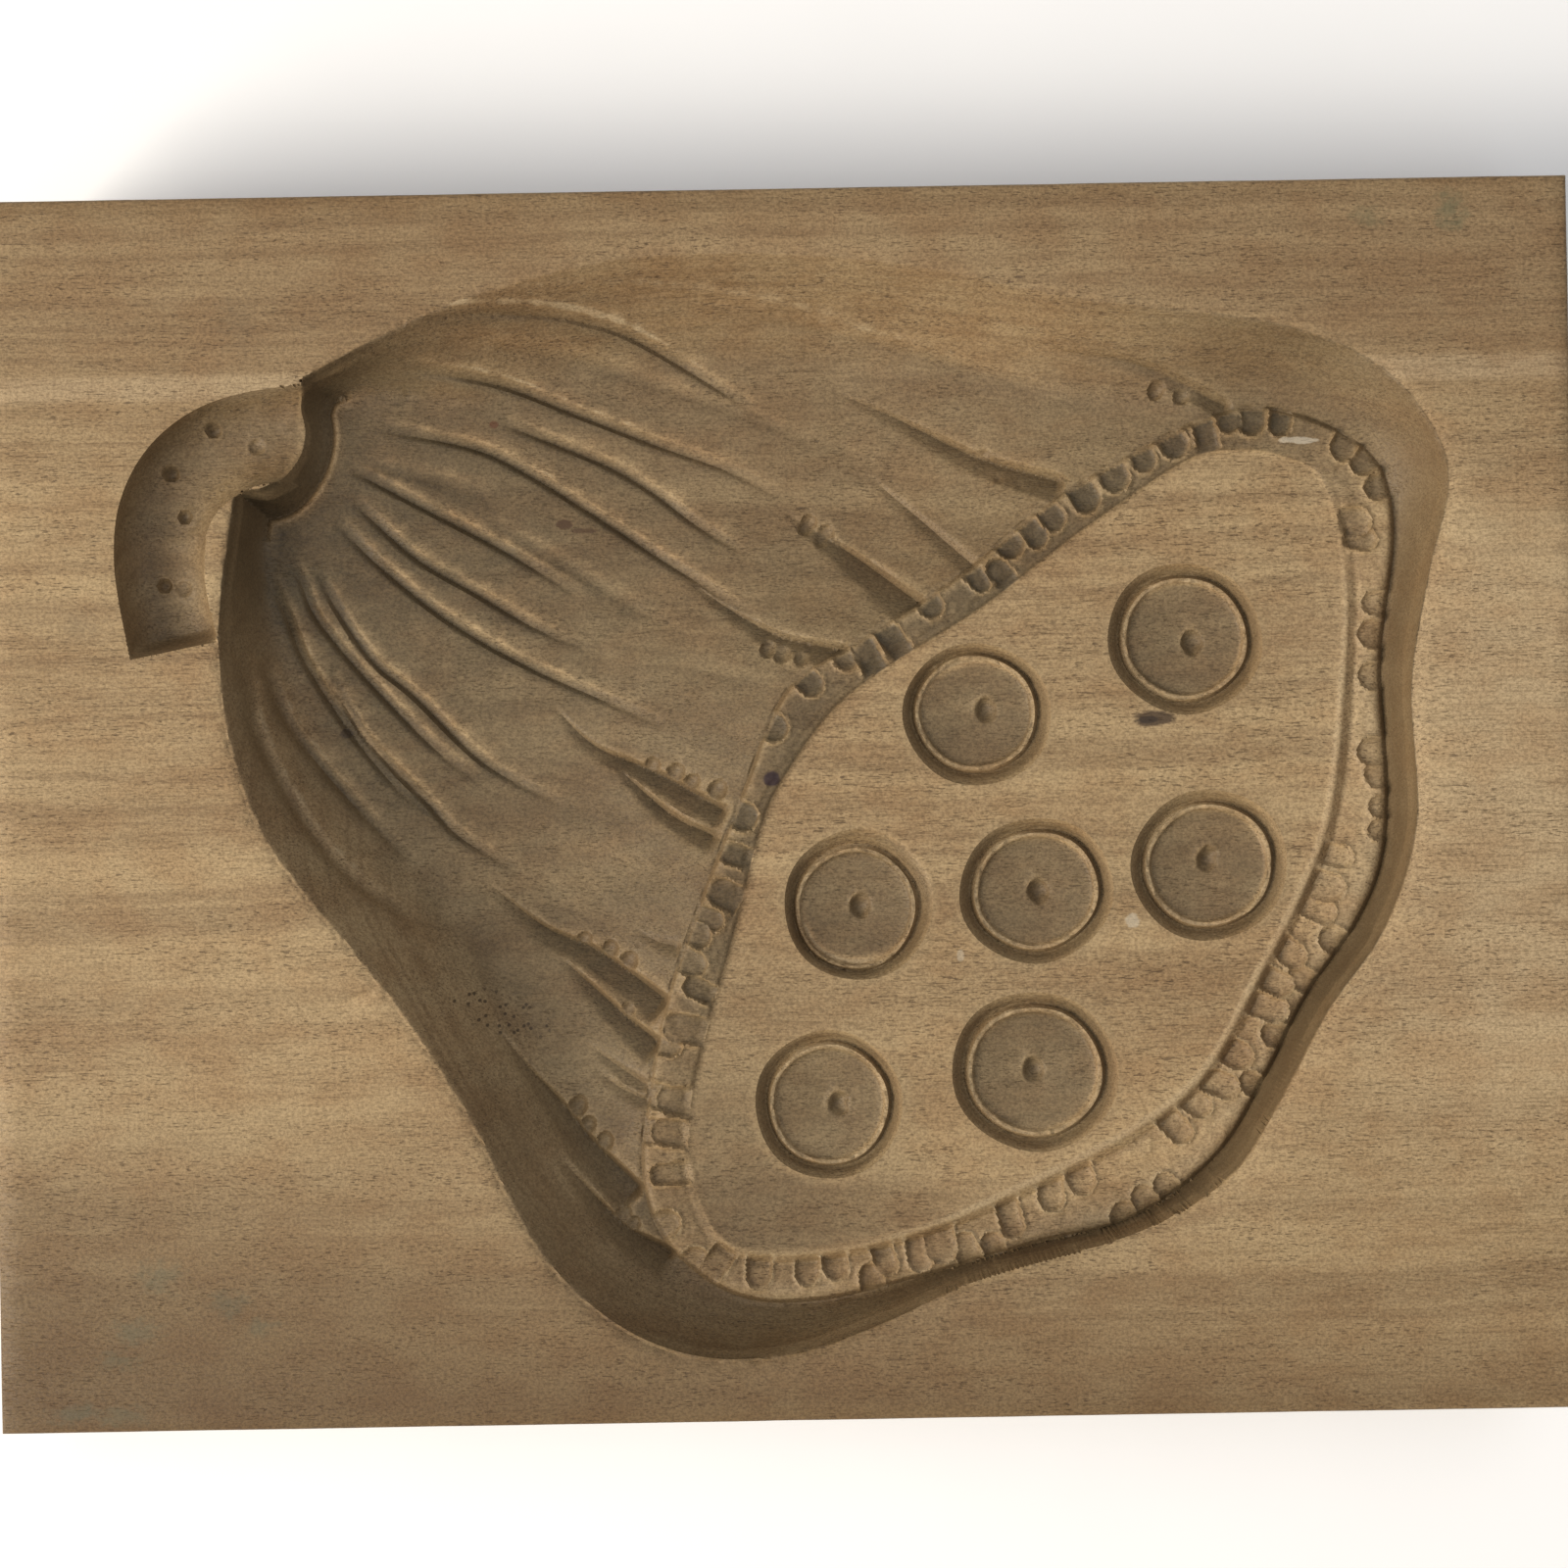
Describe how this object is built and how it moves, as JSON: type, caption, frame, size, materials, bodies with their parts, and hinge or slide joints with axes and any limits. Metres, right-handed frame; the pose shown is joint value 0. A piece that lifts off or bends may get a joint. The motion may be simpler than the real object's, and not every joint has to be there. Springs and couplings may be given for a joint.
{
  "type": "butter mold",
  "caption": "Carved wooden butter mold: a plank with a hollowed seed pod, ringed seed pits and a hooked stem channel that shape pressed butter or dough.",
  "frame": {"origin": "centre of the plank's flat back, where it rests", "axes": "+X along the grain and the long side, +Y across the grain, +Z out of the carved face"},
  "size_m": [0.324, 0.252, 0.04],
  "materials": {
    "wood": "hand-carved pale brown hardwood, dull and dry on the face, darkened by oil in the hollows"
  },
  "bodies": {
    "root": {"mold_board": "wood"}
  },
  "joints": []
}
